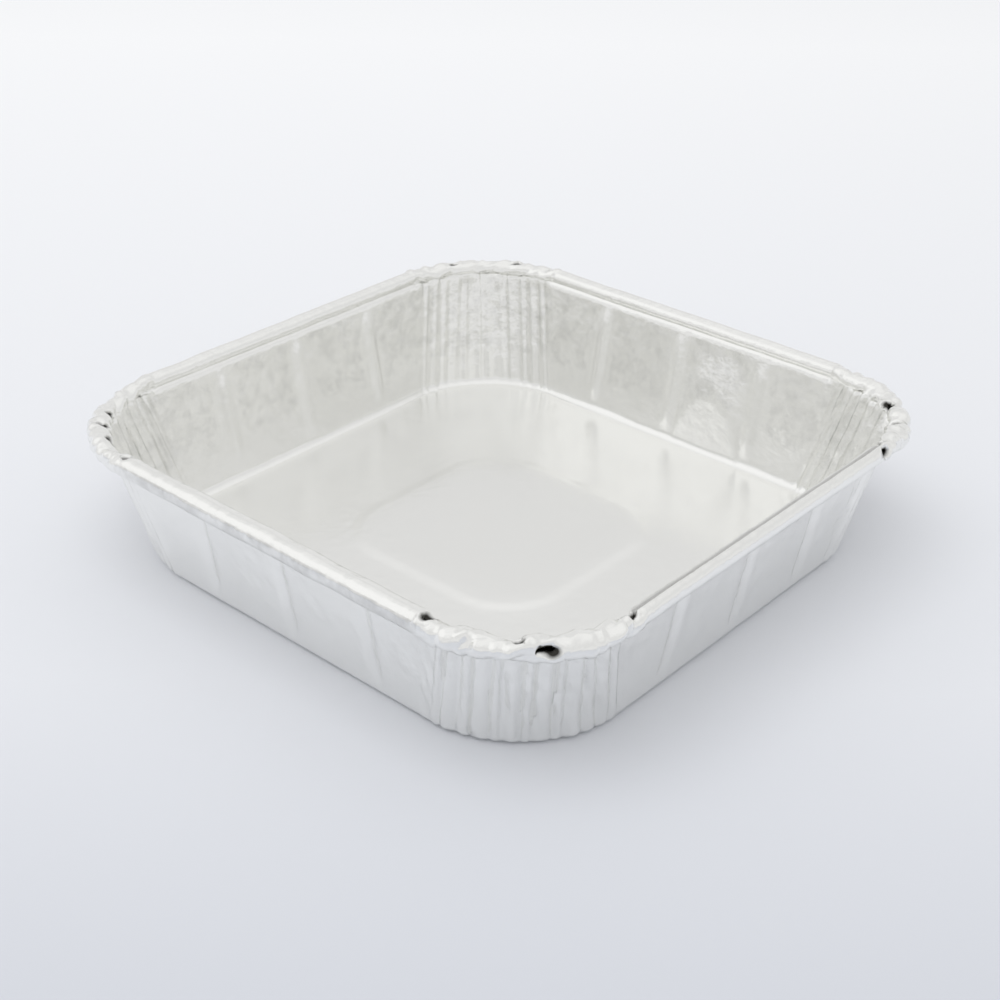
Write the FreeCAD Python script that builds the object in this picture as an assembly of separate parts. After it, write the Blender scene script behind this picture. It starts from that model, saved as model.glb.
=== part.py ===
import FreeCAD, Part
import math
import os
from collections import namedtuple

# A square food pan pressed from one sheet of foil: a floor with a raised
# panel, leaning walls with upright ribs, corners where the spare foil is
# gathered into pleats, and an edge rolled outwards into a curled rim.
# Lengths are in millimetres. The pan stands on z = 0 with its centre on the
# z axis and its sides along x and y.

SIZES = [
    ("top_width", 205.0, "across the outside of the curled rim"),
    ("tray_height", 45.5, "from the underside of the floor to the top of the rim"),
    ("base_width", 182.0, "across the walls where they would meet the floor without a fillet"),
    ("rim_corner_radius", 40.5, "outside of the rim at a corner, seen from above"),
    ("base_corner_radius", 36.5, "walls at a corner at floor level, seen from above"),
    ("floor_fillet", 7.0, "bend between the floor and the wall, on the underside"),
    ("foil_thickness", 0.1, "the foil sheet"),
    ("curl_diameter", 5.6, "the rolled edge"),
    ("curl_sweep", 285.0, "degrees of the roll, from the inside of the rim over the top"),
    ("shoulder_drop", 5.2, "from the top of the rim down to the shoulder of the wall"),
    ("shoulder_width", 0.8, "the shoulder, level with which a board lid would sit"),
    ("rib_count", 3, "upright ribs on each straight side"),
    ("rib_pitch", 34.0, "from rib to rib along a side"),
    ("rib_width", 6.0, "one rib, measured along the side"),
    ("rib_depth", 0.9, "how far a rib is pressed into the pan"),
    ("rib_fade", 5.0, "height over which a rib runs out at its top and foot"),
    ("pleat_count", 13, "pleats gathered at each corner"),
    ("pleat_depth", 0.75, "from the mean wall out to a fold at the shoulder"),
    ("pleat_foot", 0.25, "from the mean wall out to a fold at the foot of the wall"),
    ("pleat_rim", 0.3, "from the mean rim out to a fold in the rolled edge"),
    ("crimp_depth", 0.5, "how far a fold flattens the rolled edge at a corner"),
    ("pinch_depth", 1.2, "dimple where the straight roll ends"),
    ("pinch_length", 3.0, "run of the dimple along the side"),
    ("panel_width", 84.0, "raised panel in the floor, across its foot"),
    ("panel_corner_radius", 24.0, "corners of the raised panel"),
    ("panel_rise", 1.0, "height of the raised panel"),
    ("panel_slope", 4.0, "width of the slope round the raised panel"),
]

FILLET_FACETS = 4
CURL_FACETS = 9
RIB_FACETS = 4
PANEL_CORNER_FACETS = 6

# Where the foot of the wall and the shoulder come in the section. Between them
# are the two levels where a rib has its full depth.
FOOT = FILLET_FACETS
SHOULDER = FOOT + 3

# Where the section of the foil passes: its reach from the centre of the pan,
# its height, the place of the corner's axis at that height, and how fully the
# ribs and the pleats show there.
Level = namedtuple("Level", "reach height axis rib pleat")

# A place round the pan. On a side it is measured along from the middle (end 0)
# or from where the side meets a corner (end -1 or 1). On a corner it is a turn
# about the corner's axis. Then come how far a rib and a pleat push the wall
# outwards there, and how much the rolled edge is flattened.
Station = namedtuple("Station", "end along turn rib pleat crimp")


def make_sheet(doc):
    """Put the driving sizes in a spreadsheet and read them back from it."""
    sheet = doc.addObject("Spreadsheet::Sheet", "Sizes")
    for row, (alias, value, meaning) in enumerate(SIZES, start=1):
        sheet.set(f"A{row}", alias)
        sheet.set(f"B{row}", str(value))
        sheet.set(f"C{row}", meaning)
        sheet.setAlias(f"B{row}", alias)
    doc.recompute()
    values = {alias: float(getattr(sheet, alias)) for alias, value, meaning in SIZES}
    values["rib_count"] = int(values["rib_count"])
    values["pleat_count"] = int(values["pleat_count"])
    return namedtuple("Sizes", values)(**values)


def wall_levels(s):
    """The underside of the foil from the floor's edge up to the shoulder."""
    base = s.base_width / 2
    neck = s.top_width / 2 - s.curl_diameter + s.foil_thickness
    wall_top = neck - s.shoulder_width
    shoulder = s.tray_height - s.shoulder_drop
    base_axis = base - s.base_corner_radius
    rim_axis = s.top_width / 2 - s.rim_corner_radius
    lean = math.atan2(wall_top - base, shoulder)
    bend = math.pi / 2 - lean
    floor_edge = base - s.floor_fillet * math.tan(bend / 2)

    levels = []
    for step in range(FILLET_FACETS + 1):
        angle = bend * step / FILLET_FACETS
        reach = floor_edge + s.floor_fillet * math.sin(angle)
        height = s.floor_fillet * (1 - math.cos(angle))
        shown = s.pleat_foot * step / FILLET_FACETS
        levels.append(Level(reach, height, base_axis, 0.0, shown))

    foot = levels[-1]
    rib_foot = foot.height + s.rib_fade
    rib_top = shoulder - s.rib_fade
    for height, rib in ((rib_foot, 1.0), (rib_top, 1.0), (shoulder, 0.0)):
        share = (height - foot.height) / (shoulder - foot.height)
        reach = foot.reach + share * (wall_top - foot.reach)
        axis = base_axis + share * (rim_axis - base_axis)
        shown = s.pleat_foot + share * (s.pleat_depth - s.pleat_foot)
        levels.append(Level(reach, height, axis, rib, shown))
    return levels


def curl_levels(s, crimp):
    """The underside of the foil from the shoulder over the rolled edge."""
    rim_axis = s.top_width / 2 - s.rim_corner_radius
    neck = s.top_width / 2 - s.curl_diameter + s.foil_thickness
    shoulder = s.tray_height - s.shoulder_drop
    radius = (s.curl_diameter - crimp) / 2 - s.foil_thickness
    centre_reach = neck + radius
    centre_height = s.tray_height - crimp - s.foil_thickness - radius
    levels = [Level(neck, shoulder + s.shoulder_width, rim_axis, 0.0, s.pleat_depth)]
    for step in range(CURL_FACETS + 1):
        angle = math.radians(180 - s.curl_sweep * step / CURL_FACETS)
        reach = centre_reach + radius * math.cos(angle)
        height = centre_height + radius * math.sin(angle)
        levels.append(Level(reach, height, rim_axis, 0.0, s.pleat_rim))
    return levels


def thicken(levels, thickness):
    """Move the section by the foil's thickness, to the side that holds food.

    The first level is the edge of the floor, which is level there.
    """
    moved = []
    for index, level in enumerate(levels):
        before = levels[max(index - 1, 0)]
        after = levels[min(index + 1, len(levels) - 1)]
        arriving = math.atan2(level.height - before.height, level.reach - before.reach)
        leaving = math.atan2(after.height - level.height, after.reach - level.reach)
        if index == 0:
            arriving = 0.0
        if index == len(levels) - 1:
            leaving = arriving
        turn = math.remainder(leaving - arriving, 2 * math.pi)
        normal = arriving + turn / 2 + math.pi / 2
        shift = thickness / math.cos(turn / 2)
        moved.append(level._replace(reach=level.reach + shift * math.cos(normal),
                                    height=level.height + shift * math.sin(normal)))
    return moved


def side_stations(s):
    """Places along one straight side: each rib, and a dimple at each end."""
    stations = [Station(-1, s.pinch_length, None, 0.0, 0.0, 0.0)]
    for number in range(s.rib_count):
        centre = (number - (s.rib_count - 1) / 2) * s.rib_pitch
        for step in range(RIB_FACETS + 1):
            across = step / RIB_FACETS - 0.5
            pressed = -s.rib_depth * math.cos(math.pi * across) ** 2
            along = centre + across * s.rib_width
            stations.append(Station(0, along, None, pressed, 0.0, 0.0))
    stations.append(Station(1, -s.pinch_length, None, 0.0, 0.0, 0.0))
    return stations


def corner_stations(s):
    """Places round one corner: a fold and a hollow for each pleat.

    The folds differ in depth and in width, as gathered foil does.
    """
    steps = 2 * s.pleat_count
    stations = []
    for step in range(steps + 1):
        at_end = step in (0, steps)
        uneven = 1 + 0.35 * math.sin(2.4 * step)
        outwards = 0.0 if at_end else (uneven if step % 2 else -uneven)
        drift = 0.0 if at_end else 0.28 * math.sin(1.7 * step)
        turn = math.radians(90) * (step + drift) / steps
        flattened = s.crimp_depth * uneven * (0.25 if step % 2 else 1.0)
        crimp = s.pinch_depth if at_end else flattened
        stations.append(Station(0, 0.0, turn, 0.0, outwards, crimp))
    return stations


def place(station, level):
    """The point where a level of the section passes a station."""
    if station.turn is None:
        return FreeCAD.Vector(level.reach + station.rib * level.rib,
                              station.end * level.axis + station.along, level.height)
    radius = level.reach - level.axis + station.pleat * level.pleat
    return FreeCAD.Vector(level.axis + radius * math.cos(station.turn),
                          level.axis + radius * math.sin(station.turn), level.height)


def quarter_rows(s, offset, turn):
    """Rows of points up one face of the foil: a side, then the corner after it."""
    spin = FreeCAD.Rotation(FreeCAD.Vector(0, 0, 1), 90 * turn)
    wall = wall_levels(s)
    runs = []
    for stations in (side_stations(s), corner_stations(s)):
        rows = []
        for station in stations:
            section = thicken(wall + curl_levels(s, station.crimp), offset)
            rows.append([spin.multVec(place(station, level)) for level in section])
        runs.append(rows)
    return runs


def facets_between(first, second):
    """Flat facets between two rows: one where four points are level, else two."""
    faces = []
    for a, b, c, d in zip(first, first[1:], second[1:], second):
        normal = (b - a).cross(d - a).normalize()
        if abs(normal.dot(c - a)) < 1e-6:
            faces.append(Part.Face(Part.makePolygon([a, b, c, d, a])))
        else:
            faces.append(Part.Face(Part.makePolygon([a, b, c, a])))
            faces.append(Part.Face(Part.makePolygon([a, c, d, a])))
    return faces


def side_faces(rows):
    """One straight side: narrow facets over the ribs, and long ones elsewhere."""
    faces = []
    for first, second in zip(rows, rows[1:]):
        faces += facets_between(first[FOOT:SHOULDER + 1], second[FOOT:SHOULDER + 1])
    ends = [rows[0], rows[-1]]
    for low in range(len(rows[0]) - 1):
        if FOOT <= low < SHOULDER:
            continue
        lower = [row[low] for row in (rows if low == SHOULDER else ends)]
        upper = [row[low + 1] for row in (rows if low + 1 == FOOT else ends)]
        outline = lower + upper[::-1]
        faces.append(Part.Face(Part.makePolygon(outline + outline[:1])))
    return faces


def panel_outline(half, radius, height):
    """A square with rounded corners, as a row of points."""
    points = []
    for corner in range(4):
        for step in range(PANEL_CORNER_FACETS + 1):
            angle = math.radians(90 * (corner + step / PANEL_CORNER_FACETS))
            quarter = math.radians(90 * corner + 45)
            axis = (half - radius) * math.sqrt(2)
            points.append(FreeCAD.Vector(axis * math.cos(quarter) + radius * math.cos(angle),
                                         axis * math.sin(quarter) + radius * math.sin(angle),
                                         height))
    return points


def floor_faces(s, edge, height):
    """One face of the floor, with the panel raised in the middle of it."""
    foot_half = s.panel_width / 2
    top_half = foot_half - s.panel_slope
    foot = panel_outline(foot_half, s.panel_corner_radius, height)
    top = panel_outline(top_half, s.panel_corner_radius - s.panel_slope, height + s.panel_rise)
    rim = Part.makePolygon(edge + edge[:1])
    hole = Part.makePolygon(foot + foot[:1])
    faces = [Part.makeFace([rim, hole], "Part::FaceMakerBullseye")]
    for index in range(len(foot)):
        faces += facets_between([foot[index - 1], top[index - 1]], [foot[index], top[index]])
    faces.append(Part.Face(Part.makePolygon(top + top[:1])))
    return faces


def make_skin(s, offset):
    """One whole face of the foil, and the points along its cut edge."""
    quarters = [quarter_rows(s, offset, turn) for turn in range(4)]
    faces = []
    border = []
    for index, (side, corner) in enumerate(quarters):
        next_side = quarters[(index + 1) % 4][0]
        faces += side_faces(side)
        run = [side[-1]] + corner + [next_side[0]]
        for first, second in zip(run, run[1:]):
            faces += facets_between(first, second)
        border += [side[0]] + run[:-1]
    faces += floor_faces(s, [row[0] for row in border], offset)
    return faces, [row[-1] for row in border]


def make_tray(doc, s):
    """Skin both faces of the foil, close its cut edge and make it solid."""
    faces, under_edge = make_skin(s, 0.0)
    inner_faces, inner_edge = make_skin(s, s.foil_thickness)
    faces += inner_faces
    for index in range(len(under_edge)):
        faces += facets_between([under_edge[index - 1], inner_edge[index - 1]],
                                [under_edge[index], inner_edge[index]])
    solid = Part.makeSolid(Part.makeShell(faces))
    if solid.Volume < 0:
        solid.reverse()
    tray = doc.addObject("Part::Feature", "FoilTray")
    tray.Label = "foil_tray"
    tray.Shape = solid
    tray.Placement = FreeCAD.Placement()
    return tray


def export_parts(doc, parts):
    """Check the whole document, then write each part to its own file."""
    doc.recompute()
    for item in doc.Objects:
        if "Invalid" in item.State or "Error" in item.State:
            raise RuntimeError(f"{item.Label} failed: {item.State}")
    for part in parts:
        if part.Shape.isNull() or not part.Shape.isValid():
            raise RuntimeError(f"{part.Label} has no valid shape")
    os.makedirs("parts", exist_ok=True)
    for part in parts:
        part.Shape.exportStep(f"parts/{part.Label}.step")


document = FreeCAD.newDocument("foil_food_pan")
sizes = make_sheet(document)
tray = make_tray(document, sizes)
export_parts(document, [tray])
print(f"volume {tray.Shape.Volume:.0f} mm3, {len(tray.Shape.Faces)} faces, "
      f"{len(tray.Shape.Solids)} solid, box {tray.Shape.BoundBox}")
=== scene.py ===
# A square food pan of bright rolled aluminium foil on a pale table.
#
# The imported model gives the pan's real size. The foil is built here again as a
# fine sheet of the same form, so that it can carry what the press and the hand
# leave in foil: soft dents, creased pleats and a crimped, rolled edge.
# Lengths are in metres, with MM for sizes that are easier to read that way.

import math
from collections import namedtuple

import bpy
import numpy as np
from bpy.props import FloatProperty, FloatVectorProperty, IntProperty, PointerProperty
from mathutils import Matrix, Vector, noise


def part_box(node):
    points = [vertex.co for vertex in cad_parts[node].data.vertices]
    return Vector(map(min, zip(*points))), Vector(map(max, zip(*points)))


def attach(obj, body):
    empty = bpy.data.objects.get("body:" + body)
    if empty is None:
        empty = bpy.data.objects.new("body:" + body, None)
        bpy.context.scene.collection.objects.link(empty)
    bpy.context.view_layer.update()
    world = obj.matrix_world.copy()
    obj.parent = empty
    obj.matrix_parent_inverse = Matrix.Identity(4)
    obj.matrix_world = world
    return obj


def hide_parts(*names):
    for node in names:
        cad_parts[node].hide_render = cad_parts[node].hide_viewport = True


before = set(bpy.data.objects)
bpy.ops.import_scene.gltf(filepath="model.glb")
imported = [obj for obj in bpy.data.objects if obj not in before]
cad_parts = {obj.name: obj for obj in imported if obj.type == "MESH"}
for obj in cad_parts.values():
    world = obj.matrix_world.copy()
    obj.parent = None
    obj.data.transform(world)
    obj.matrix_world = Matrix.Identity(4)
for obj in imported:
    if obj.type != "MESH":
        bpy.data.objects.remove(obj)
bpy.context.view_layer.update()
PAN_LOW, PAN_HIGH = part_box("foil_tray")
MM = 0.001

bl_info = {
    "name": "Foil Food Pan",
    "version": (1, 0, 0),
    "blender": (4, 5, 0),
    "location": "View3D > Sidebar > Foil Pan",
    "description": "Presses a square food pan from one sheet of foil and sets it on a table",
    "category": "Add Mesh",
}


def linear(hex_colour):
    """Linear colour of an sRGB hex value."""
    parts = [int(hex_colour[at:at + 2], 16) / 255 for at in (1, 3, 5)]
    return tuple(c / 12.92 if c <= 0.04045 else ((c + 0.055) / 1.055) ** 2.4 for c in parts)


def length(label, description, default):
    """A property that holds a length."""
    return FloatProperty(name=label, description=description, default=default,
                         min=0.0, subtype="DISTANCE", unit="LENGTH", precision=5)


class PanSizes(bpy.types.PropertyGroup):
    """Sizes of the pressed pan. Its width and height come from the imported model."""

    base_width: length("Base", "Across the walls at floor level", 178.3 * MM)
    rim_corner_radius: length("Rim corner", "Outside of the rim at a corner", 40.5 * MM)
    base_corner_radius: length("Base corner", "Walls at a corner at floor level", 36.5 * MM)
    floor_fillet: length("Floor bend", "Bend between floor and wall", 3.5 * MM)
    foil_thickness: length("Foil", "Thickness of the sheet", 0.1 * MM)
    curl_diameter: length("Curl", "The rolled edge", 5.6 * MM)
    shoulder_drop: length("Shoulder drop", "From the rim's top to the shoulder", 5.2 * MM)
    shoulder_width: length("Shoulder", "Width of the shoulder", 0.8 * MM)
    rib_pitch: length("Rib pitch", "From rib to rib along a side", 34 * MM)
    rib_width: length("Rib width", "One rib along the side", 7 * MM)
    rib_depth: length("Rib depth", "How far a rib is pressed in", 1.0 * MM)
    rib_side: length("Rib side", "Width of a rib's flank", 3.5 * MM)
    rib_fade: length("Rib fade", "Height over which a rib runs out", 7 * MM)
    pleat_depth: length("Pleat depth", "From the mean wall to a fold at the shoulder", 0.75 * MM)
    pleat_foot: length("Pleat foot", "The same at the foot of the wall", 0.45 * MM)
    pleat_rim: length("Pleat rim", "The same in the rolled edge", 0.25 * MM)
    crimp_depth: length("Crimp", "How far a fold flattens the rolled edge", 0.4 * MM)
    corner_drop: length("Corner drop", "How much lower the crimped roll lies", 0.4 * MM)
    roll_swell: length("Roll swell", "How much thicker a loose roll is", 1.6 * MM)
    pit_depth: length("Pits", "Depth of the pits in the crimped roll", 3.4 * MM)
    pit_width: length("Pit width", "Across one pit", 2.5 * MM)
    seam_depth: length("Seam depth", "How deep the roll's seam lies", 0.9 * MM)
    seam_width: length("Seam width", "From the middle of the seam to its edge", 1.5 * MM)
    dome_rise: length("Dome", "How far the floor bulges up round the panel", 1.2 * MM)
    panel_width: length("Panel", "Raised panel in the floor", 84 * MM)
    panel_corner_radius: length("Panel corner", "Corners of the raised panel", 24 * MM)
    panel_rise: length("Panel rise", "Height of the raised panel", 0.7 * MM)
    panel_slope: length("Panel slope", "Width of the slope round it", 5 * MM)
    curl_sweep: FloatProperty(name="Curl sweep", description="Turn of the rolled edge",
                              default=math.radians(285), subtype="ANGLE", unit="ROTATION")
    rim_flat_angle: FloatProperty(name="Flat angle", default=math.radians(106),
                                  description="Side of the rolled edge that the press flattens",
                                  subtype="ANGLE", unit="ROTATION")
    rim_flat: FloatProperty(name="Flat", description="Height of that flat side over the radius",
                            default=0.94, min=0.5, max=1.0, subtype="FACTOR")
    pleat_count: IntProperty(name="Pleats", description="Pleats at each corner", default=13)
    rib_count: IntProperty(name="Ribs", description="Ribs on each side", default=3)


class FoilLook(bpy.types.PropertyGroup):
    """Finish of the foil, the colour of its painted shade, and how unevenly the sheet lies."""

    foil_colour: FloatVectorProperty(name="Foil", description="Colour of the bare foil",
                                     default=linear("#F8F8F6"), subtype="COLOR",
                                     min=0.0, max=1.0)
    # The colour of painted shade deep in the pits, toward which the seam and the mottled patches
    # also go.
    pit_shade_colour: FloatVectorProperty(name="Pits", description="Colour deep in a pit",
                                    default=linear("#3A3936"), subtype="COLOR",
                                    min=0.0, max=1.0)
    sheen: FloatProperty(name="Roughness", description="Blur of what the foil mirrors",
                         default=0.22, min=0.0, max=1.0, subtype="FACTOR")
    wall_dents: length("Wall dents", "Depth of the soft dents in the walls", 0.3 * MM)
    floor_dents: length("Floor dents", "Depth of the soft dents in the floor", 0.14 * MM)
    creases: length("Creases", "Depth of the creases at the corners", 0.22 * MM)
    rim_creases: length("Rim creases", "Depth of the creases in the rolled edge", 2.5 * MM)
    foot_dent: length("Bulge", "How far one wall bulges in between two ribs", 2.0 * MM)


class StageLook(bpy.types.PropertyGroup):
    """The table, the studio and the camera."""

    near_colour: FloatVectorProperty(name="Near", description="Paper in front of the pan",
                                     default=linear("#D2D5DC"), subtype="COLOR",
                                     min=0.0, max=1.0)
    table_colour: FloatVectorProperty(name="Table", description="Paper behind the pan",
                                      default=linear("#E3E5EA"), subtype="COLOR",
                                      min=0.0, max=1.0)
    far_colour: FloatVectorProperty(name="Far", description="Paper at the far end",
                                    default=linear("#F9FAFC"), subtype="COLOR",
                                    min=0.0, max=1.0)
    sky_level: FloatProperty(name="Studio level", description="Brightness of the white studio",
                             default=1.0, min=0.0)
    softbox_power: FloatProperty(name="Softbox", description="Power of the large softbox",
                                 default=5.5, min=0.0, subtype="POWER", unit="POWER")


# Levels of the foil's section, from the middle of the floor to the cut edge.
PANEL_RINGS = (0.08, 0.3, 0.6, 0.85)
SLOPE_STEPS = 5
FLOOR_RINGS = (0.12, 0.3, 0.5, 0.7, 0.86, 0.95)
FILLET_STEPS = 9
WALL_STEPS = 25
SHOULDER_STEPS = 3
NECK_STEPS = 3
CURL_STEPS = 30
ROLL_LEVELS = NECK_STEPS + CURL_STEPS + 1


def smooth(x):
    """Eases from 0 to 1 as x goes from 0 to 1."""
    x = np.clip(x, 0.0, 1.0)
    return x * x * (3 - 2 * x)


def pan_levels(s):
    """Section of the pan below the rolled edge: reach, height, corner axis, rib, pleat."""
    base = s.base_width / 2
    neck = PAN_HIGH.x - s.curl_diameter + s.foil_thickness
    wall_top = neck - s.shoulder_width
    shoulder = PAN_HIGH.z - s.shoulder_drop
    base_axis = base - s.base_corner_radius
    rim_axis = PAN_HIGH.x - s.rim_corner_radius
    bend = math.pi / 2 - math.atan2(wall_top - base, shoulder)
    floor_edge = base - s.floor_fillet * math.tan(bend / 2)
    panel_foot = s.panel_width / 2
    panel_top = panel_foot - s.panel_slope
    levels = []

    def add(reach, height, axis, rib=0.0, pleat=0.0):
        levels.append((reach, height, axis, rib, pleat))

    top_axis = panel_foot - s.panel_corner_radius
    for share in PANEL_RINGS:
        add(panel_top * share, s.panel_rise + s.dome_rise, top_axis * share)
    for step in range(SLOPE_STEPS + 1):
        share = step / SLOPE_STEPS
        add(panel_top + s.panel_slope * share,
            s.panel_rise * (1 - smooth(share)) + s.dome_rise, top_axis)
    for share in FLOOR_RINGS:
        add(panel_foot + (floor_edge - panel_foot) * share, s.dome_rise * (1 - share),
            top_axis + (base_axis - top_axis) * share)
    for step in range(FILLET_STEPS + 1):
        share = step / FILLET_STEPS
        angle = bend * share
        add(floor_edge + s.floor_fillet * math.sin(angle),
            s.floor_fillet * (1 - math.cos(angle)), base_axis, 0.0, s.pleat_foot * share)
    foot_reach, foot_height = levels[-1][:2]
    rise = shoulder - foot_height
    for step in range(1, WALL_STEPS + 1):
        share = step / WALL_STEPS
        rib = smooth(share * rise / s.rib_fade) * smooth((1 - share) * rise / s.rib_fade)
        pleat = s.pleat_foot + (s.pleat_depth - s.pleat_foot) * share
        add(foot_reach + (wall_top - foot_reach) * share, foot_height + rise * share,
            base_axis + (rim_axis - base_axis) * share, rib, pleat)
    for step in range(1, SHOULDER_STEPS + 1):
        share = step / SHOULDER_STEPS
        add(wall_top + s.shoulder_width * share, shoulder + s.shoulder_width * share,
            rim_axis, 0.0, s.pleat_depth)
    return np.array(levels).T


def curl_section(s, flattened, loose, crimped):
    """Reach and height of the rolled edge at each place round the pan.

    Where it is loose, the roll is thicker inward. Where it is crimped, it lies lower.
    """
    neck = PAN_HIGH.x - s.curl_diameter + s.foil_thickness
    start = PAN_HIGH.z - s.shoulder_drop + s.shoulder_width
    flattened, crimped = flattened[:, None], crimped[:, None]
    lean = s.roll_swell * loose[:, None]
    radius = (s.curl_diameter - flattened + lean) / 2 - s.foil_thickness
    drop = np.maximum(flattened, 0) + s.corner_drop * crimped
    centre = PAN_HIGH.z - drop - s.foil_thickness - radius
    climb = np.arange(NECK_STEPS)[None, :] / NECK_STEPS
    angle = math.pi - s.curl_sweep * np.arange(CURL_STEPS + 1)[None, :] / CURL_STEPS
    inside = np.cos(angle - s.rim_flat_angle)
    shape = np.minimum(1.0, s.rim_flat / np.maximum(inside, 0.1)) * radius
    reach = np.hstack([neck - lean * climb, neck - lean + radius + shape * np.cos(angle)])
    height = np.hstack([start + (centre - start) * climb, centre + shape * np.sin(angle)])
    return reach, height


# Distances between the places round the pan. Each quarter is a side and then the corner
# after it. The places are closer over this run at both ends of a side, and over this
# share of a rib's width to either side of its middle.
END_SPACING = 0.4 * MM
RIB_SPACING = 0.65 * MM
PLAIN_SPACING = 1.9 * MM
CORNER_SPACING = 0.58 * MM
END_RUN = 5 * MM
RIB_RUN = 0.6


def spread(start, stop, spacing):
    """Even places from start up to, but not with, stop."""
    count = max(1, round((stop - start) / spacing))
    return start + (stop - start) * np.arange(count) / count


def quarter_places(s):
    """Places along one side, and turns about one corner."""
    half = PAN_HIGH.x - s.rim_corner_radius
    stops = [(-half, END_SPACING), (-half + END_RUN, PLAIN_SPACING)]
    for number in range(s.rib_count):
        centre = (number - (s.rib_count - 1) / 2) * s.rib_pitch
        reach = s.rib_width * RIB_RUN
        stops += [(centre - reach, RIB_SPACING), (centre + reach, PLAIN_SPACING)]
    stops += [(half - END_RUN, END_SPACING), (half, 0.0)]
    side = [spread(a[0], b[0], a[1]) for a, b in zip(stops, stops[1:])]
    turns = spread(0.0, math.pi / 2, CORNER_SPACING / s.rim_corner_radius)
    return np.concatenate(side), turns


# Columns and rows of random heights, after which creases repeat.
CREASE_GRID = (512, 64)


def folded(u, v, seed):
    """Random heights on a grid, joined by flat triangles as in creased foil."""
    heights = np.random.RandomState(seed).uniform(-1, 1, CREASE_GRID)
    columns, rows = CREASE_GRID
    column, row = np.floor(u).astype(int), np.floor(v).astype(int)
    du, dv = u - column, v - row
    a = heights[column % columns, row % rows]
    b = heights[(column + 1) % columns, row % rows]
    c = heights[column % columns, (row + 1) % rows]
    d = heights[(column + 1) % columns, (row + 1) % rows]
    near = a + du * (b - a) + dv * (c - a)
    far = d + (1 - du) * (c - d) + (1 - dv) * (b - d)
    return np.where(du + dv < 1, near, far)


def waves(points, size, stretch, offset):
    """Smooth noise over points, with hollows of about the given size."""
    scaled = points / size
    scaled[..., 2] /= stretch
    flat = scaled.reshape(-1, 3) + offset
    values = [noise.noise(Vector(point)) for point in flat]
    return np.array(values).reshape(points.shape[:-1])


# Shares by which pleats differ in depth and in width, each with its phase from one half
# pleat to the next, and how far the crimp flattens the roll at the round part of a pleat,
# where it is 1 at a crease.
PLEAT_UNEVEN, UNEVEN_PHASE = 0.35, 2.4
PLEAT_DRIFT, DRIFT_PHASE = 0.28, 1.7
ROUND_CRIMP = 0.25

# Round a corner, the folds and the crimped roll start over this turn.
CORNER_START = math.radians(4)


def pleat_shape(s, turns, slant):
    """How far each place at a corner stands out, how flat its roll is and how crimped.

    A pleat is a broad round fold between two narrow creases. The slant moves it
    along the corner, by a share of half its width, as it climbs the wall.
    """
    steps = np.arange(2 * s.pleat_count + 1)
    inner = (steps > 0) & (steps < steps[-1])
    uneven = 1 + PLEAT_UNEVEN * np.sin(UNEVEN_PHASE * steps)
    drift = np.where(inner, PLEAT_DRIFT * np.sin(DRIFT_PHASE * steps), 0.0)
    at = (steps + drift) / steps[-1] * math.pi / 2
    flat = np.where(inner, s.crimp_depth * uneven * np.where(steps % 2, ROUND_CRIMP, 1.0), 0.0)
    ends = smooth(np.minimum(turns, math.pi / 2 - turns) / CORNER_START)
    moved = np.interp(turns, at, steps)[:, None] + slant * ends[:, None]
    moved = np.clip(moved, 0, steps[-1])
    depth = np.interp(moved, steps, uneven) * ends[:, None]
    fold = 2 * np.abs(np.sin(math.pi / 2 * moved)) - 1
    return depth * fold, np.interp(turns, at, flat), ends


# The corners in the order that the places go round, which is anticlockwise from above.
BACK, LEFT, FRONT, RIGHT = range(4)

# Where each place round the pan lies: how far past the middle of its nearest corner,
# which corner that is, and how long the rim's outside is round a corner.
Places = namedtuple("Places", "from_corner corner corner_run")

# How deep the folds are at the back, left, front and right corner.
CORNER_FOLDS = (0.45, 0.8, 1.2, 0.9)

# How crumpled the roll is at the back, left, front and right corner.
RIM_CREASES = (0.6, 0.6, 1.0, 0.9)

# How loose the roll is along the back right, back left, front left and front right.
SIDE_LOOSE = (0.5, 0.5, 1.15, 0.5)

# How far a pleat leans along the corner, in half pleats, from the middle of the section
# to either end. Two waves round the corner make some lean more than others.
PLEAT_SLANT = 0.45
LEAN_WAVES = (7, 19)

# The places start to fan out towards a corner this many rib pitches from the middle.
FAN_START = 1.2


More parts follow.
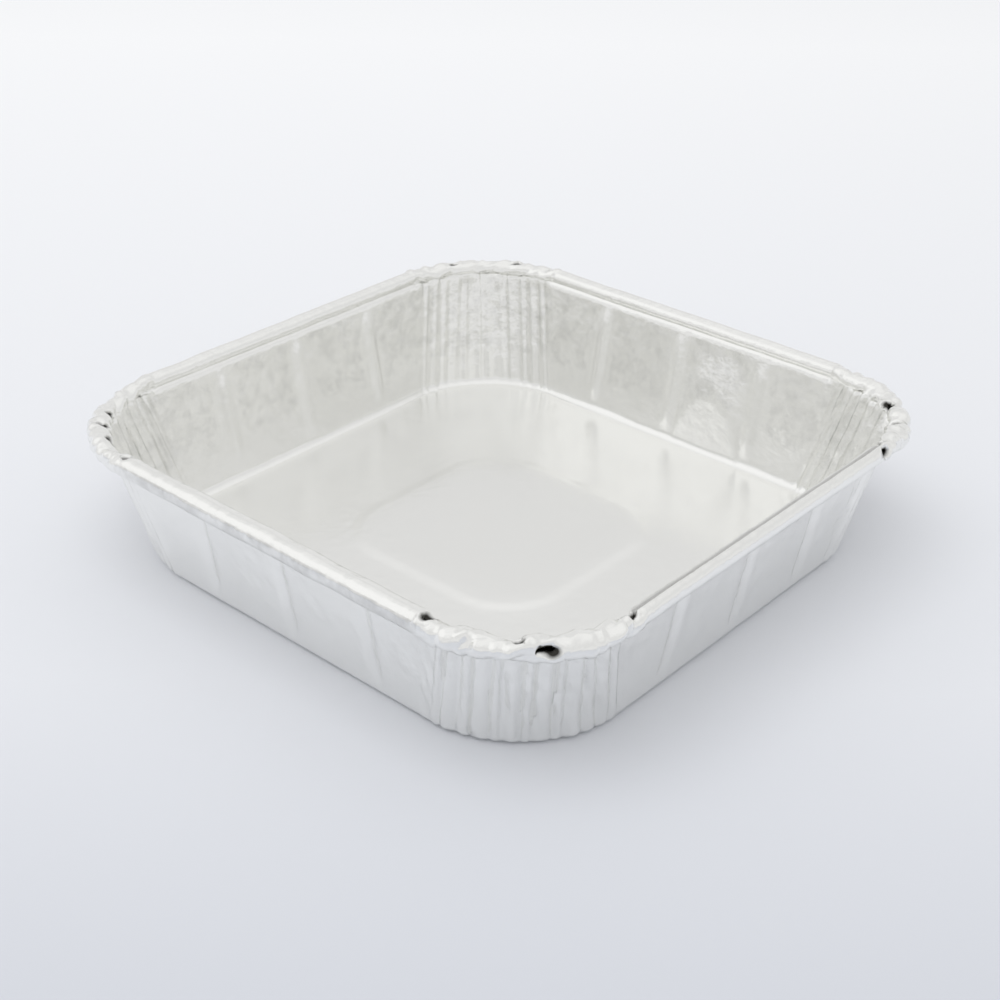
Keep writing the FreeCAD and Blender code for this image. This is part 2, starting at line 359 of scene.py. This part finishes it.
def pan_grid(s):
    """Points of the foil's underside, one column up the section for each place."""
    side, turns = quarter_places(s)
    reach, height, axis, rib, pleat = pan_levels(s)
    rim_axis = PAN_HIGH.x - s.rim_corner_radius
    base_axis = s.base_width / 2 - s.base_corner_radius

    rib_at = np.zeros_like(side)
    for number in range(s.rib_count):
        across = (side - (number - (s.rib_count - 1) / 2) * s.rib_pitch) / s.rib_width
        rib_at += smooth((0.5 - np.abs(across)) * s.rib_width / s.rib_side)

    climb = np.linspace(-1, 1, len(reach) + ROLL_LEVELS)[None, :]
    flattened, crimped = pleat_shape(s, turns, 0 * climb)[1:]
    flattened = np.concatenate([np.zeros_like(side), flattened])
    crimped = np.concatenate([np.zeros_like(side), crimped])
    count = len(side) + len(turns)
    pan_reach, pan_height = np.tile(reach, (count, 1)), np.tile(height, (count, 1))
    axis = np.concatenate([axis, np.full(ROLL_LEVELS, rim_axis)])
    rib = np.concatenate([rib, np.zeros(ROLL_LEVELS)])
    pleat = np.concatenate([pleat, np.full(ROLL_LEVELS, s.pleat_rim)])

    fan = s.rib_pitch * FAN_START
    shift = np.sign(side) * smooth((np.abs(side) - fan) / (rim_axis - fan))
    on_wall = side[:, None] + shift[:, None] * (axis[None, :] - rim_axis)
    at_base = side + shift * (base_axis - rim_axis)
    along = np.where(axis < base_axis - 1e-9, at_base[:, None] * axis / base_axis, on_wall)

    rows = []
    for turn in range(4):
        here, ahead = SIDE_LOOSE[turn], SIDE_LOOSE[(turn + 1) % 4]
        loose = np.interp(turns, (0, math.pi / 2), (here, ahead))
        loose = np.concatenate([np.full(len(side), here),
                                loose + (1 - loose) * crimped[len(side):]])
        curl_reach, curl_height = curl_section(s, flattened, loose, crimped)
        reach = np.hstack([pan_reach, curl_reach])
        height = np.hstack([pan_height, curl_height])
        out = reach[:len(side)] - s.rib_depth * rib_at[:, None] * rib
        side_rows = np.stack([out, along, height[:len(side)]], axis=-1)
        slow, fast = LEAN_WAVES
        lean = np.sin(slow * turns + 2 * turn) + 0.5 * np.sin(fast * turns + turn)
        fold = pleat_shape(s, turns, PLEAT_SLANT * lean[:, None] * climb)[0]
        radius = reach[len(side):] - axis + CORNER_FOLDS[turn] * fold * pleat
        corner_rows = np.stack([axis + radius * np.cos(turns)[:, None],
                                axis + radius * np.sin(turns)[:, None],
                                height[len(side):]], axis=-1)
        spin = np.array(Matrix.Rotation(math.pi / 2 * turn, 3, "Z"))
        rows.append(np.concatenate([side_rows, corner_rows]) @ spin.T)
    return np.concatenate(rows), find_places(side, turns, s)


def find_places(side, turns, s):
    """Where the places of all four quarters lie from their nearest corners."""
    rim_axis = PAN_HIGH.x - s.rim_corner_radius
    corner_run = s.rim_corner_radius * math.pi / 2
    from_corner = np.concatenate([side - rim_axis - corner_run / 2,
                                  turns * s.rim_corner_radius - corner_run / 2])
    started = np.arange(len(from_corner)) < len(side) // 2
    from_corner[started] += 2 * rim_axis + corner_run
    corner = np.where(started, -1, 0)
    corner = np.concatenate([corner + turn for turn in range(4)]) % 4
    return Places(np.tile(from_corner, 4), corner, corner_run)


def on_side(places, after):
    """Whether each place lies on the straight side that follows a corner."""
    past = (places.corner == after) & (places.from_corner > places.corner_run / 2)
    before = (places.corner == (after + 1) % 4) & (places.from_corner < -places.corner_run / 2)
    return (past | before)[:, None]


def grid_normals(grid):
    """Directions square to the sheet, on the side that holds food."""
    round_pan = np.roll(grid, -1, 0) - np.roll(grid, 1, 0)
    up_section = np.gradient(grid, axis=1)
    normals = np.cross(up_section, round_pan)
    normals /= np.linalg.norm(normals, axis=-1, keepdims=True) + 1e-12
    return normals


# Soft dents in the floor, the walls and the roll: their size across, how much higher
# than wide they are, and how far from the start of the noise they are taken.
FLOOR_DENT = (38 * MM, 1.0, 7.3)
WALL_DENT = (17 * MM, 1.5, 0.0)
SMALL_DENT = (7 * MM, 2.0, 31.7)
GRAIN = (4.5 * MM, 2.5, 17.1)
ROLL_DENT = (11 * MM, 1.0, 3.1)
LUMP = (5 * MM, 1.0, 11.9)

# Width and height of the creases at the corners, in millimetres, and how far they lean.
CREASE, FINE_CREASE = (2.3, 8.5), (1.1, 6.0)
CREASE_LEAN = 0.12

# Length and width of the folds that crumple the roll at the corners, in millimetres, and
# how far they lean. A step of the roll's section counts as this many millimetres.
CRUMPLE, FINE_CRUMPLE = (5.8, 3.6), (2.3, 2.1)
CRUMPLE_LEAN = 0.35
ROLL_STEP = 0.5

# How deep the smaller forms are, where the largest of their kind is 1 deep.
SMALL_SHARE, GRAIN_SHARE, FINE_SHARE = 0.45, 0.6, 0.4
CRUMPLE_SHARE, FINE_CRUMPLE_SHARE, LUMP_SHARE = 0.5, 0.1, 0.3

# The roll lies this share of the dents' depth further in, so that none stands out.
ROLL_INSET = 0.8

# Creases run out this far past a corner, and so does the crumpled roll, from its margin.
CREASE_RUN = 9 * MM
CRIMP_MARGIN, CRIMP_RUN = 1 * MM, 1.5 * MM

# Levels before the wall's foot where its dents start and those of the floor end, and
# before the roll where the crumpling starts, each with the levels that it takes.
WALL_START, FLOOR_END, CRUMPLE_START = (6, 8), (12, 6), (9, 7)


def rise_before(level, mark, start):
    """Eases from 0 to 1 over a run of levels that starts before the one marked."""
    before, run = start
    return smooth((level - mark + before) / run)


def crease_foil(grid, s, look, places):
    """Dent and crease the smooth grid as pressed foil is."""
    pan_count = grid.shape[1] - ROLL_LEVELS
    foot = pan_count - SHOULDER_STEPS - WALL_STEPS - 1
    level = np.arange(grid.shape[1])
    on_wall = rise_before(level, foot, WALL_START) * (level < pan_count)
    on_floor = 1 - rise_before(level, foot, FLOOR_END)
    on_roll = rise_before(level, pan_count, (1, NECK_STEPS + 1))
    at_rim = rise_before(level, pan_count, CRUMPLE_START)
    past_corner = np.abs(places.from_corner) - places.corner_run / 2
    at_corner = 1 - smooth(past_corner / CREASE_RUN)
    at_crimp = 1 - smooth((past_corner - CRIMP_MARGIN) / CRIMP_RUN)

    dents = waves(grid, *WALL_DENT) + SMALL_SHARE * waves(grid, *SMALL_DENT)
    grain = GRAIN_SHARE * waves(grid, *GRAIN)
    push = look.wall_dents * (dents + grain) * on_wall
    broad = waves(grid, *FLOOR_DENT)
    push += look.floor_dents * (1 + broad) * on_floor * smooth(level / len(PANEL_RINGS))

    # Each corner takes its creases from its own columns of the random heights.
    place = places.from_corner[:, None] / MM + 1000 * places.corner[:, None]
    height = grid[..., 2] / MM
    wide, high = CREASE
    fine = folded(place / wide + CREASE_LEAN * height, height / high, 4)
    wide, high = FINE_CREASE
    finer = folded(place / wide, height / high + 5.3, 9)
    deep = np.array(CORNER_FOLDS)[places.corner] ** 2 * at_corner
    push += look.creases * (fine + FINE_SHARE * finer) * on_wall * deep[:, None]

    around = (level - pan_count) * ROLL_STEP
    long, wide = CRUMPLE
    crumple = folded(place / long, around / wide + CRUMPLE_LEAN * place / long, 11)
    long, wide = FINE_CRUMPLE
    crumple_fine = folded(place / long + 9.1, around / wide, 12)
    depth = CRUMPLE_SHARE * crumple + FINE_CRUMPLE_SHARE * crumple_fine
    depth += LUMP_SHARE * waves(grid, *LUMP)
    crush = np.array(RIM_CREASES)[places.corner] * at_crimp
    push += look.rim_creases * depth * at_rim * crush[:, None]
    push += look.wall_dents * (waves(grid, *ROLL_DENT) - ROLL_INSET) * on_roll
    return grid + grid_normals(grid) * push[..., None]


# The dent at the foot of the back right wall: the height of its arched top, half its
# width in rib pitches, and where it is cut off, in heights of the arch.
DENT_HEIGHT = 20 * MM
DENT_REACH = 0.4
DENT_LIMIT = 2.1


def dent_outline(grid, s):
    """The wall's points, and their height and the dent's arched top in dent heights."""
    on_wall = grid[..., 0] > s.base_width / 2 - 2 * MM
    along = (grid[..., 1] + s.rib_pitch / 2) / (DENT_REACH * s.rib_pitch)
    return on_wall, grid[..., 2] / DENT_HEIGHT, np.sqrt(np.maximum(0.0, 1 - along ** 2))


def dent_foot(grid, s, look):
    """Bulge one wall inward between two ribs, so that its foot stands steeper."""
    on_wall, up, arch = dent_outline(grid, s)
    on_wall &= up < DENT_LIMIT
    rise = np.minimum(up, arch)
    fall = 1 - smooth(up - arch)
    bulge = look.foot_dent * rise * fall * on_wall
    return grid + grid_normals(grid) * bulge[..., None]


# Pits in the roll: corner, place from end to end of the corner, angle up from the
# outermost line of the roll, and size along and around the roll.
PITS = ((BACK, -0.45, 100, 1.3, 0.7), (BACK, 0.4, 100, 1.2, 0.7),
        (LEFT, -0.15, 150, 1.2, 1.2), (LEFT, 0.15, 155, 1.9, 1.5),
        (LEFT, 0.5, 150, 1.8, 1.0), (LEFT, 0.12, 95, 1.1, 0.9),
        (LEFT, 1.05, 90, 1.0, 0.8),
        (FRONT, -1.0, 114, 1.4, 2.2), (FRONT, -0.12, 85, 1.2, 0.9),
        (FRONT, 0.13, 15, 2.1, 1.4), (FRONT, 0.97, 114, 1.4, 2.2),
        (RIGHT, -1.08, 25, 1.5, 1.4), (RIGHT, -0.45, 125, 1.6, 1.5),
        (RIGHT, 0.05, 140, 2.4, 1.6))

# The roll's seam: its angle like that of a pit, and the darkness of its painted shade where a
# pit's is 1.
SEAM_ANGLE = math.radians(119)
SEAM_SHADE = 0.22


def roll_angles(grid, s):
    """Which levels are in the roll, and the angle of each up from its outermost line."""
    level = np.arange(grid.shape[1]) - grid.shape[1] + CURL_STEPS + 1
    return level >= 0, math.pi - level / CURL_STEPS * s.curl_sweep


def press_pits(grid, outwards, s, places):
    """Press the pits that hand crimping leaves, and give each point painted shade by how deep in
    one it lies.
    """
    in_roll, angle = roll_angles(grid, s)
    shade = np.zeros(grid.shape[:2])
    for corner, share, up, long, wide in PITS:
        along = places.from_corner - share * places.corner_run / 2
        along = np.where(places.corner == corner, along, 1.0)
        around = (angle - math.radians(up)) * s.curl_diameter / 2
        near = np.hypot(along[:, None] / long, around[None, :] / wide) / (s.pit_width / 2)
        dip = s.pit_depth * np.exp(-near ** 4) * in_roll
        grid = grid - outwards * dip[..., None]
        shade = np.maximum(shade, dip / s.pit_depth)

    # The seam of the roll is a shallow groove along the front right side, and painted shade
    # shows it as a dark line.
    around = (angle - SEAM_ANGLE) * s.curl_diameter / 2 / s.seam_width
    seam = np.exp(-np.abs(around) ** 3) * on_side(places, FRONT) * in_roll
    grid = grid - outwards * (s.seam_depth * seam)[..., None]
    return grid, np.maximum(shade, SEAM_SHADE * seam)


# Heights between which the mottled painted shade on the walls comes in, and those between
# which it goes out again below the shoulder. The ribs are freer of it by the share that
# follows, so that they read as painted highlights.
PAINTED_SHADE_IN = (3 * MM, 15 * MM)
PAINTED_SHADE_OUT = (39 * MM, 41 * MM)
RIB_CLEAR = 0.95

# The painted shade on the roll: its darkness where that on a wall is 1, its lowest and
# highest angle, which are like those of the pits, and the angle over which it fades there.
ROLL_SHADE = 1.4
ROLL_SHADE_LOW, ROLL_SHADE_HIGH, ROLL_SHADE_FADE = np.radians((-60, 42, 16))


def painted_shade_places(grid, s, places):
    """How much painted shade each point of the food side has.

    The walls have it in mottled patches, but not the ribs and one dent, which so read as
    painted highlights. So does the lower half of the roll along the front left side.
    """
    along = np.where(np.abs(grid[..., 0]) > np.abs(grid[..., 1]), grid[..., 1], grid[..., 0])
    nearest = s.rib_pitch * np.clip(np.round(along / s.rib_pitch), -1, 1)
    rib = smooth(1.5 - np.abs(along - nearest) / (s.rib_width / 2))
    come = smooth(np.interp(grid[..., 2], PAINTED_SHADE_IN, (0, 1)))
    gone = smooth(np.interp(grid[..., 2], PAINTED_SHADE_OUT, (0, 1)))
    painted_shade = come * (1 - gone) * (1 - RIB_CLEAR * rib)

    on_wall, up, arch = dent_outline(grid, s)
    # Painted shade stays off the dent below its arched top, which so reads as a painted
    # highlight.
    painted_shade *= 1 - smooth((arch - up) * 5 + 0.5) * on_wall

    # Painted shade on the lower half of the roll along the front left side.
    in_roll, angle = roll_angles(grid, s)
    below = smooth((ROLL_SHADE_HIGH - angle) / ROLL_SHADE_FADE)
    above = smooth((angle - ROLL_SHADE_LOW) / ROLL_SHADE_FADE)
    lower_half = below * above * in_roll
    return np.maximum(painted_shade, ROLL_SHADE * lower_half * on_side(places, LEFT))


# Folds in the mesh sharper than this stay sharp when it is shaded.
SHARP_FOLD = math.radians(55)


def sheet_mesh(name, under, food, shade, painted_shade, closed_floor):
    """A mesh of both faces of a strip of foil, with its edges closed.

    The painted shade of the pits and the seam is on both faces, and the mottled painted
    shade is on the side that holds food.
    """
    count, levels = under.shape[:2]
    points = np.concatenate([under.reshape(-1, 3), food.reshape(-1, 3)])
    place = np.arange(count)[:, None]
    level = np.arange(levels - 1)[None, :]
    ahead = (place + 1) % count
    lower = np.stack([place * levels + level, place * levels + level + 1,
                      ahead * levels + level + 1, ahead * levels + level], axis=-1)
    lower = lower.reshape(-1, 4)
    upper = lower[:, ::-1] + count * levels
    first = np.arange(count) * levels
    second = np.roll(first, -1)
    over = count * levels
    last = levels - 1
    edge = np.stack([first + last, first + last + over, second + last + over,
                     second + last], axis=-1)
    faces = lower.tolist() + upper.tolist() + edge.tolist()
    if closed_floor:
        faces.append(first[::-1].tolist())
        faces.append((first + over).tolist())
    else:
        faces += np.stack([first, second, second + over, first + over], axis=-1).tolist()
    mesh = bpy.data.meshes.new(name)
    mesh.from_pydata(points.tolist(), [], faces)
    mesh.validate()
    mesh.shade_smooth()
    mesh.set_sharp_from_angle(angle=SHARP_FOLD)
    # Layers of painted shade: that of the pits and the seam, and the mottled one.
    for label, sides in (("pit", (shade, shade)), ("painted_shade", (np.zeros_like(painted_shade), painted_shade))):
        layer = mesh.attributes.new(label, "FLOAT", "POINT")
        values = np.concatenate([side.reshape(-1) for side in sides])
        layer.data.foreach_set("value", values.astype(np.float32))
    return mesh


# Materials


def add_node(tree, kind, settings=None, *sources, **links):
    """Add a node, set its properties and sockets, and link its inputs in order or by name."""
    node = tree.nodes.new(kind)
    for name, value in (settings or {}).items():
        if name in node.inputs:
            node.inputs[name].default_value = value
        else:
            setattr(node, name, value)
    for number, source in enumerate(sources):
        tree.links.new(source, node.inputs[number])
    for name, source in links.items():
        tree.links.new(source, node.inputs[name.replace("_", " ")])
    return node


def colour_ramp(node, stops):
    """Give a colour ramp its stops, each of them a place and a colour."""
    elements = node.color_ramp.elements
    for element, (place, colour) in ((elements[0], stops[0]), (elements[1], stops[-1])):
        element.position = place
        element.color = (*colour, 1.0)
    for place, colour in stops[1:-1]:
        elements.new(place).color = (*colour, 1.0)


def new_material(name):
    """An empty node material and its output node."""
    material = bpy.data.materials.new(name)
    material.use_nodes = True
    material.node_tree.nodes.clear()
    output = material.node_tree.nodes.new("ShaderNodeOutputMaterial")
    return material, material.node_tree, output


# Sizes of the foil's crinkles and of the patches in its sheen and in its painted shade.
CRINKLE = 4.5 * MM
SHEEN_PATCH = 14 * MM
PAINTED_SHADE_PATCH = 5 * MM

# Depth of the crinkles, the share of it that they have on the floor, and the heights
# between which they grow to the whole.
CRINKLE_DEPTH = 0.45 * MM
FLOOR_CRINKLE = 0.3
CRINKLE_GROWTH = (3 * MM, 12 * MM)

# How far the roughness goes up and down from patch to patch.
SHEEN_CHANGE = 0.04

# The noise between these levels becomes painted shade between these levels of darkness.
PAINTED_SHADE_NOISE = (0.36, 0.66)
PAINTED_SHADE_DARKNESS = (0.068, 0.115)

# Darkness of painted shade up to which the foil keeps its colour, and from which it has the
# painted shade colour deep in a pit.
BARE_DARKNESS = 0.08
PIT_SHADE_DARKNESS = 0.4


def bright_rolled_foil(look):
    """Aluminium foil, cold rolled and pressed.

    Rolling leaves a satin sheen that blurs what the foil mirrors. Pressing adds
    fine crinkles, stronger in the drawn walls, which break the mirror up into patches.
    Painted shade darkens the inside of the walls in mottled patches, but not the ribs and
    the dent at the foot of one wall, which so read as painted highlights, and it darkens
    the lower half of the roll along the front left. No light comes back out of the pits in
    the roll, which are deeper in real foil, so they are darkened with painted shade, and
    so is the roll's seam.
    """
    material, tree, output = new_material("bright_rolled_foil")
    place = add_node(tree, "ShaderNodeTexCoord").outputs["Object"]
    crinkle = add_node(tree, "ShaderNodeTexNoise",
                       {"Scale": 1 / CRINKLE, "Detail": 3.0, "Roughness": 0.55},
                       Vector=place)
    height = add_node(tree, "ShaderNodeSeparateXYZ", Vector=place).outputs["Z"]
    low, high = CRINKLE_GROWTH
    drawn = add_node(tree, "ShaderNodeMapRange",
                     {"From Min": low, "From Max": high, "To Min": FLOOR_CRINKLE},
                     Value=height)
    bump = add_node(tree, "ShaderNodeBump", {"Distance": CRINKLE_DEPTH},
                    Height=crinkle.outputs["Fac"], Strength=drawn.outputs["Result"])
    patches = add_node(tree, "ShaderNodeTexNoise", {"Scale": 1 / SHEEN_PATCH, "Detail": 2.0},
                       Vector=place)
    sheen = add_node(tree, "ShaderNodeMapRange",
                     {"To Min": look.sheen - SHEEN_CHANGE, "To Max": look.sheen + SHEEN_CHANGE},
                     Value=patches.outputs["Fac"])
    # Mottled painted shade: noise, made darker where the mesh layer asks for it.
    painted_shade = add_node(tree, "ShaderNodeTexNoise",
                    {"Scale": 1 / PAINTED_SHADE_PATCH, "Detail": 4.0, "Roughness": 0.65},
                    Vector=place)
    low, high = PAINTED_SHADE_NOISE
    least, most = PAINTED_SHADE_DARKNESS
    painted_darkness = add_node(tree, "ShaderNodeMapRange",
                    {"From Min": low, "From Max": high, "To Min": least, "To Max": most},
                    Value=painted_shade.outputs["Fac"])
    place_of_painted_shade = add_node(tree, "ShaderNodeAttribute", {"attribute_name": "painted_shade"})
    mottled_shade = add_node(tree, "ShaderNodeMath", {"operation": "MULTIPLY"},
                    painted_darkness.outputs["Result"], place_of_painted_shade.outputs["Fac"])
    # Painted shade in the pits and along the roll's seam.
    pit = add_node(tree, "ShaderNodeAttribute", {"attribute_name": "pit"})
    darkness = add_node(tree, "ShaderNodeMath", {"operation": "MAXIMUM"},
                        mottled_shade.outputs["Value"], pit.outputs["Fac"])
    colour = add_node(tree, "ShaderNodeValToRGB", Fac=darkness.outputs["Value"])
    colour_ramp(colour, ((BARE_DARKNESS, look.foil_colour), (PIT_SHADE_DARKNESS, look.pit_shade_colour)))
    foil = add_node(tree, "ShaderNodeBsdfPrincipled", {"Metallic": 1.0},
                    Base_Color=colour.outputs["Color"],
                    Roughness=sheen.outputs["Result"], Normal=bump.outputs["Normal"])
    tree.links.new(foil.outputs["BSDF"], output.inputs["Surface"])
    return material


# The fade in the paper runs away from the camera, between these distances from the pan's
# middle. It comes to the colour behind the pan at this share of its way.
FADE_DIRECTION = (0.753, 0.658, 0.0)
FADE_REACH = (-0.2, 0.62)
TABLE_SHARE = 0.14


def matt_paper(stage):
    """Smooth matt paper, darker in front of the pan and lighter further from the camera."""
    material, tree, output = new_material("matt_paper")
    place = add_node(tree, "ShaderNodeTexCoord").outputs["Object"]
    away = add_node(tree, "ShaderNodeVectorMath", {"operation": "DOT_PRODUCT"}, place)
    away.inputs[1].default_value = FADE_DIRECTION
    near, far = FADE_REACH
    share = add_node(tree, "ShaderNodeMapRange", {"From Min": near, "From Max": far},
                     Value=away.outputs["Value"])
    fade = add_node(tree, "ShaderNodeValToRGB", Fac=share.outputs["Result"])
    colour_ramp(fade, ((0.0, stage.near_colour), (TABLE_SHARE, stage.table_colour),
                       (1.0, stage.far_colour)))
    paper = add_node(tree, "ShaderNodeBsdfPrincipled",
                     {"Roughness": 0.9, "Specular IOR Level": 0.1})
    tree.links.new(fade.outputs["Color"], paper.inputs["Base Color"])
    tree.links.new(paper.outputs["BSDF"], output.inputs["Surface"])
    return material


# Operators


class PAN_OT_press(bpy.types.Operator):
    """Press the pan from one sheet of foil"""

    bl_idname = "pan.press"
    bl_label = "Press the Pan"

    def execute(self, context):
        sizes = context.scene.pan_sizes
        look = context.scene.foil_look
        smooth_grid, places = pan_grid(sizes)
        outwards = grid_normals(smooth_grid)
        grid = crease_foil(smooth_grid, sizes, look, places)
        grid = dent_foot(grid, sizes, look)
        grid, shade = press_pits(grid, outwards, sizes, places)
        reach = PAN_HIGH.x - sizes.foil_thickness
        grid = np.clip(grid, (-reach, -reach, 0.0), (reach, reach, PAN_HIGH.z - 0.1 * MM))
        food = grid + grid_normals(grid) * sizes.foil_thickness
        painted_shade = painted_shade_places(grid, sizes, places)
        split = grid.shape[1] - ROLL_LEVELS
        foil = bright_rolled_foil(look)
        pan, rim = slice(0, split + 1), slice(split, None)
        for name, part in (("foil_pan", pan), ("rolled_rim", rim)):
            mesh = sheet_mesh(name, grid[:, part], food[:, part], shade[:, part],
                              painted_shade[:, part], part is pan)
            mesh.materials.append(foil)
            piece = bpy.data.objects.new(name, mesh)
            context.collection.objects.link(piece)
            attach(piece, "root")
            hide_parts("foil_tray")
        return {"FINISHED"}


# The table's reach each way, and how far it lies below the pan.
TABLE_REACH = 4.0
TABLE_DROP = 0.05 * MM

# Brightness of the studio from the horizon, at 0, up to straight above, at 1.
STUDIO_LEVELS = ((0.0, 0.68), (0.14, 0.85), (0.5, 0.735), (0.62, 0.79), (0.74, 0.83),
                 (0.85, 0.88), (1.0, 0.9))

# One round white board at the back left is brighter, and shows in the floor and one
# wall. Its edge is where these cosines of the angle from its middle are.
BOARD_DIRECTION = (-0.47, 0.595, 0.652)
BOARD_EDGE = (0.83, 0.93)
BOARD_LEVEL = 0.97

# The softbox hangs over the pan, a little to the near left.
SOFTBOX_PLACE = (-0.45, 0.0, 1.35)
SOFTBOX_LENGTH, SOFTBOX_WIDTH = 1.5, 1.1

# The camera stands where the photograph was taken from. Its lens is shifted so that the
# middle of the pan's underside comes to this pixel.
CAMERA_TURN = math.radians(48.84)
CAMERA_HEIGHT = math.radians(31.14)
CAMERA_ROLL = math.radians(0.78)
CAMERA_DISTANCE = 526.6 * MM
CAMERA_LENS = 58.0
IMAGE_WIDTH = 1000
ORIGIN_PIXEL = (501.0, 531.8)


class PAN_OT_stage(bpy.types.Operator):
    """Set the table, the soft studio light and the camera"""

    bl_idname = "pan.stage"
    bl_label = "Set the Stage"

    def execute(self, context):
        stage = context.scene.stage_look
        self.lay_table(context, stage)
        self.light_studio(context, stage)
        self.hang_softbox(context, stage)
        self.place_camera(context)
        context.scene.view_settings.view_transform = "Standard"
        return {"FINISHED"}

    def lay_table(self, context, stage):
        mesh = bpy.data.meshes.new("table")
        corners = [(x * TABLE_REACH, y * TABLE_REACH, -TABLE_DROP)
                   for x, y in ((-1, -1), (1, -1), (1, 1), (-1, 1))]
        mesh.from_pydata(corners, [], [(0, 1, 2, 3)])
        mesh.materials.append(matt_paper(stage))
        table = bpy.data.objects.new("table", mesh)
        context.collection.objects.link(table)

    def light_studio(self, context, stage):
        world = bpy.data.worlds.new("white_studio")
        world.use_nodes = True
        tree = world.node_tree
        tree.nodes.clear()
        direction = add_node(tree, "ShaderNodeTexCoord").outputs["Generated"]
        up = add_node(tree, "ShaderNodeSeparateXYZ", Vector=direction).outputs["Z"]
        ramp = add_node(tree, "ShaderNodeValToRGB", Fac=up)
        colour_ramp(ramp, [(place, (grey, grey, grey)) for place, grey in STUDIO_LEVELS])
        side = add_node(tree, "ShaderNodeVectorMath", {"operation": "DOT_PRODUCT"}, direction)
        side.inputs[1].default_value = BOARD_DIRECTION
        outer, inner = BOARD_EDGE
        board = add_node(tree, "ShaderNodeMapRange",
                         {"interpolation_type": "SMOOTHSTEP", "From Min": outer,
                          "From Max": inner, "To Max": BOARD_LEVEL},
                         Value=side.outputs["Value"])
        white = add_node(tree, "ShaderNodeMath", {"operation": "MAXIMUM"},
                         ramp.outputs["Color"], board.outputs["Result"])
        glow = add_node(tree, "ShaderNodeBackground", {"Strength": stage.sky_level},
                        Color=white.outputs["Value"])
        output = add_node(tree, "ShaderNodeOutputWorld")
        tree.links.new(glow.outputs["Background"], output.inputs["Surface"])
        context.scene.world = world

    def hang_softbox(self, context, stage):
        lamp = bpy.data.lights.new("softbox", "AREA")
        lamp.shape = "RECTANGLE"
        lamp.size = SOFTBOX_LENGTH
        lamp.size_y = SOFTBOX_WIDTH
        lamp.energy = stage.softbox_power
        softbox = bpy.data.objects.new("softbox", lamp)
        softbox.location = SOFTBOX_PLACE
        softbox.visible_glossy = False
        softbox.rotation_mode = "QUATERNION"
        softbox.rotation_quaternion = softbox.location.to_track_quat("Z", "Y")
        context.collection.objects.link(softbox)

    def place_camera(self, context):
        back = Vector((-math.sin(CAMERA_TURN) * math.cos(CAMERA_HEIGHT),
                       -math.cos(CAMERA_TURN) * math.cos(CAMERA_HEIGHT),
                       math.sin(CAMERA_HEIGHT)))
        data = bpy.data.cameras.new("camera")
        data.lens = CAMERA_LENS
        data.shift_x = (IMAGE_WIDTH / 2 - ORIGIN_PIXEL[0]) / IMAGE_WIDTH
        data.shift_y = (ORIGIN_PIXEL[1] - IMAGE_WIDTH / 2) / IMAGE_WIDTH
        data.clip_start = 0.01
        camera = bpy.data.objects.new("camera", data)
        roll = Matrix.Rotation(CAMERA_ROLL, 4, "Z")
        aim = back.to_track_quat("Z", "Y").to_matrix().to_4x4()
        camera.matrix_world = Matrix.Translation(back * CAMERA_DISTANCE) @ aim @ roll
        context.collection.objects.link(camera)
        context.scene.camera = camera


class PAN_PT_sidebar(bpy.types.Panel):
    """Sizes and looks of the foil pan"""

    bl_label = "Foil Pan"
    bl_idname = "PAN_PT_sidebar"
    bl_space_type = "VIEW_3D"
    bl_region_type = "UI"
    bl_category = "Foil Pan"

    def draw(self, context):
        layout = self.layout
        for group in (context.scene.pan_sizes, context.scene.foil_look,
                      context.scene.stage_look):
            box = layout.box()
            for name in group.bl_rna.properties.keys():
                if name not in ("rna_type", "name"):
                    box.prop(group, name)
        for operator in (PAN_OT_press, PAN_OT_stage):
            layout.operator(operator.bl_idname)


CLASSES = (PanSizes, FoilLook, StageLook, PAN_OT_press, PAN_OT_stage, PAN_PT_sidebar)


def register():
    for cls in CLASSES:
        bpy.utils.register_class(cls)
    bpy.types.Scene.pan_sizes = PointerProperty(type=PanSizes)
    bpy.types.Scene.foil_look = PointerProperty(type=FoilLook)
    bpy.types.Scene.stage_look = PointerProperty(type=StageLook)


def unregister():
    del bpy.types.Scene.stage_look
    del bpy.types.Scene.foil_look
    del bpy.types.Scene.pan_sizes
    for cls in reversed(CLASSES):
        bpy.utils.unregister_class(cls)


def main():
    register()
    bpy.ops.pan.press()
    bpy.ops.pan.stage()


if __name__ == "__main__":
    main()
